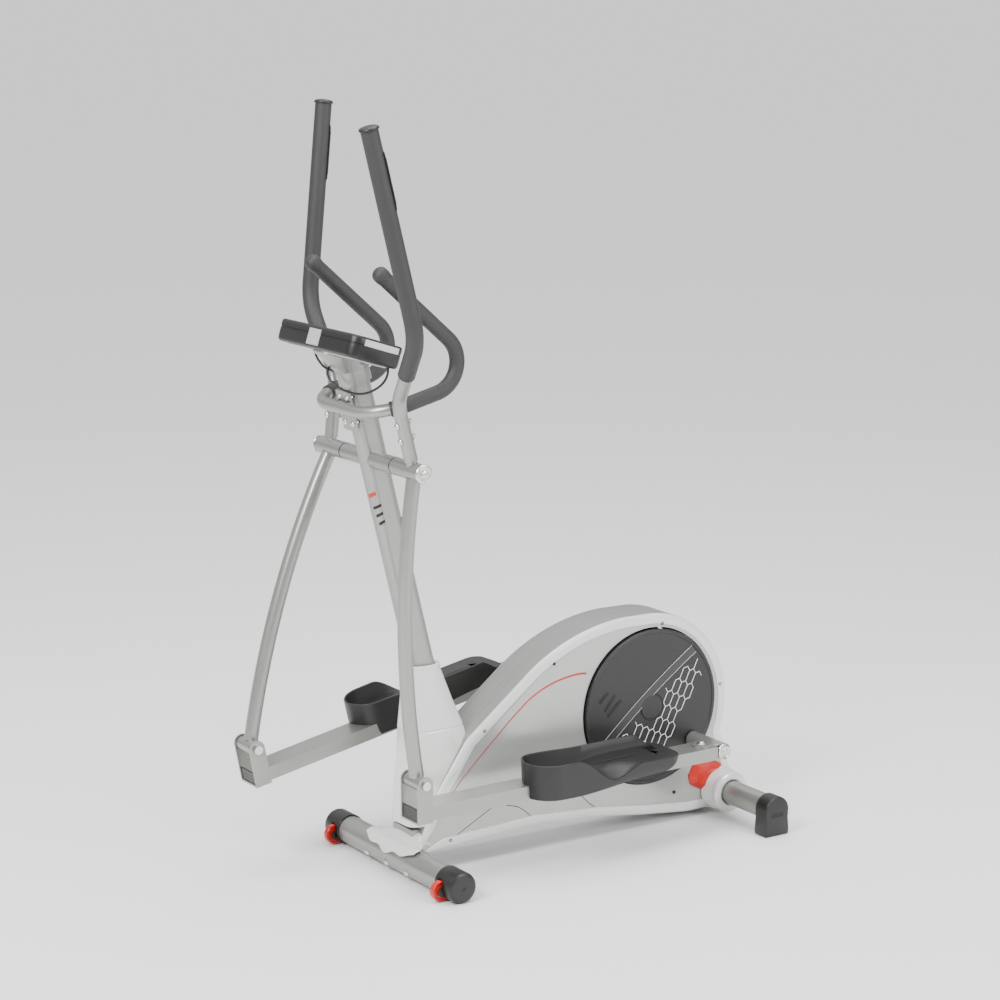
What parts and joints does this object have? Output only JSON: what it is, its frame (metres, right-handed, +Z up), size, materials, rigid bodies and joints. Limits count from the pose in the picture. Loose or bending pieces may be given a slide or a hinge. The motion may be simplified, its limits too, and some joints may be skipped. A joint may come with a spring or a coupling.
{
  "type": "elliptical trainer",
  "caption": "Upright cross trainer with swinging arm levers, pedals on a flywheel-driven crank housing, fixed grips and a console on a sloping mast.",
  "frame": {"origin": "on the floor under the middle of the machine's bounding box, with the left pedal low at the rear of its path", "axes": "+X towards the rider's left, the rider faces -Y, so the mast and console are at -Y and the crank housing at +Y, and +Z is up"},
  "size_m": [0.6318, 1.1334, 1.5861],
  "materials": {
    "silver_paint": "satin silver-grey powder coat",
    "housing_plastic": "light silver-grey moulded plastic",
    "black_plastic": "black moulded plastic with a fine grain",
    "foam": "black closed-cell foam sleeve",
    "disc_plastic": "charcoal moulded plastic",
    "red_plastic": "orange-red moulded plastic",
    "silver_plastic": "silver painted plastic",
    "steel": "zinc-plated steel",
    "iron": "machined cast iron",
    "cable_rubber": "black cable jacket",
    "belt_rubber": "black ribbed drive belt"
  },
  "bodies": {
    "frame": {"main_frame": "silver_paint", "front_stabilizer": "silver_paint", "rear_stabilizer": "silver_paint", "front_end_caps": "black_plastic", "rear_feet": "black_plastic", "left_housing_shell": "housing_plastic", "right_housing_shell": "housing_plastic", "housing_screws": "black_plastic", "mast_shroud": "housing_plastic", "front_skirt": "housing_plastic", "rear_collars": "housing_plastic", "side_inserts": "red_plastic", "mast": "silver_paint", "pivot_axle": "steel", "hub_caps": "steel", "fixed_handlebar": "silver_paint", "fixed_bar_grips": "foam", "frame_bolts": "steel", "console_bracket": "silver_paint", "console_case": "black_plastic", "console_face": "black_plastic", "pulse_cable": "cable_rubber", "sensor_lead": "cable_rubber", "crank_bearings": "steel", "drive_belt": "belt_rubber"},
    "crank": {"crank_axle": "steel", "crank_pulley": "black_plastic", "crank_arms": "steel", "left_disc": "disc_plastic", "right_disc": "disc_plastic"},
    "flywheel": {"flywheel": "iron"},
    "idler": {"idler_roller": "steel"},
    "brake": {"brake_magnets": "steel"},
    "knob": {"resistance_knob": "black_plastic"},
    "mode_button": {"mode_button": "silver_plastic"},
    "reset_button": {"reset_button": "silver_plastic"},
    "left_wheel": {"left_transport_wheel": "red_plastic"},
    "right_wheel": {"right_transport_wheel": "red_plastic"},
    "left_arm": {"left_lower_arm": "silver_paint", "left_upper_handle": "silver_paint", "left_handle_grip": "foam", "left_handle_cap": "black_plastic", "left_arm_bolts": "steel"},
    "left_rod": {"left_pedal_tube": "silver_paint", "left_tube_plug": "black_plastic", "left_pedal": "black_plastic", "left_rod_bolts": "steel", "left_crank_joint": "silver_paint", "left_crank_pin": "steel"},
    "right_arm": {"right_lower_arm": "silver_paint", "right_upper_handle": "silver_paint", "right_handle_grip": "foam", "right_handle_cap": "black_plastic", "right_arm_bolts": "steel"},
    "right_rod": {"right_pedal_tube": "silver_paint", "right_tube_plug": "black_plastic", "right_pedal": "black_plastic", "right_rod_bolts": "steel", "right_crank_joint": "silver_paint", "right_crank_pin": "steel"}
  },
  "joints": [
    {"name": "crank_turn", "type": "hinge", "parent": "frame", "child": "crank", "pos_m": [0, 0.332, 0.273], "axis": [1, 0, 0], "range_deg": [-138, 12]},
    {"name": "left_arm_swing", "type": "hinge", "parent": "frame", "child": "left_arm", "pos_m": [0, -0.333, 0.88], "axis": [1, 0, 0], "range_deg": [-23.19, 2.04]},
    {"name": "left_pedal_pivot", "type": "hinge", "parent": "left_arm", "child": "left_rod", "pos_m": [0, -0.3236, 0.23907], "axis": [1, 0, 0], "range_deg": [-2.25, 25.71]},
    {"name": "right_arm_swing", "type": "hinge", "parent": "frame", "child": "right_arm", "pos_m": [0, -0.333, 0.88], "axis": [1, 0, 0], "range_deg": [-1.97, 22.46]},
    {"name": "right_pedal_pivot", "type": "hinge", "parent": "right_arm", "child": "right_rod", "pos_m": [0, -0.54039, 0.27348], "axis": [1, 0, 0], "range_deg": [-26.08, 2.29]},
    {"name": "flywheel_spin", "type": "hinge", "parent": "frame", "child": "flywheel", "pos_m": [0, 0.023, 0.222], "axis": [1, 0, 0], "range_deg": [-1120.26, 97.43]},
    {"name": "idler_spin", "type": "hinge", "parent": "frame", "child": "idler", "pos_m": [0, 0.14178, 0.15957], "axis": [1, 0, 0], "range_deg": [-127.41, 1464.94]},
    {"name": "resistance_turn", "type": "hinge", "parent": "frame", "child": "knob", "pos_m": [0, -0.28991, 0.725], "axis": [0, 0.9711, 0.2385], "range_deg": [0, 300]},
    {"name": "brake_swing", "type": "hinge", "parent": "frame", "child": "brake", "pos_m": [0, -0.09573, 0.16664], "axis": [1, 0, 0], "range_deg": [-3.02, 0.02]},
    {"name": "mode_press", "type": "slide", "parent": "frame", "child": "mode_button", "axis": [0, -0.309, -0.9511], "range_m": [0, 0.0015], "stiffness_N_per_m": 500},
    {"name": "reset_press", "type": "slide", "parent": "frame", "child": "reset_button", "axis": [0, -0.309, -0.9511], "range_m": [0, 0.0015], "stiffness_N_per_m": 500},
    {"name": "left_wheel_roll", "type": "hinge", "parent": "frame", "child": "left_wheel", "pos_m": [0, -0.308, 0.024], "axis": [1, 0, 0], "continuous": true},
    {"name": "right_wheel_roll", "type": "hinge", "parent": "frame", "child": "right_wheel", "pos_m": [0, -0.308, 0.024], "axis": [1, 0, 0], "continuous": true}
  ],
  "couplings": [
    {"joint": "left_arm_swing", "follows": "crank_turn", "ratio": 0.16791},
    {"joint": "left_pedal_pivot", "follows": "crank_turn", "ratio": -0.18613},
    {"joint": "right_arm_swing", "follows": "crank_turn", "ratio": -0.16259},
    {"joint": "right_pedal_pivot", "follows": "crank_turn", "ratio": 0.18887},
    {"joint": "flywheel_spin", "follows": "crank_turn", "ratio": 8.1176},
    {"joint": "idler_spin", "follows": "crank_turn", "ratio": -10.615},
    {"joint": "brake_swing", "follows": "resistance_turn", "ratio": -0.01}
  ]
}
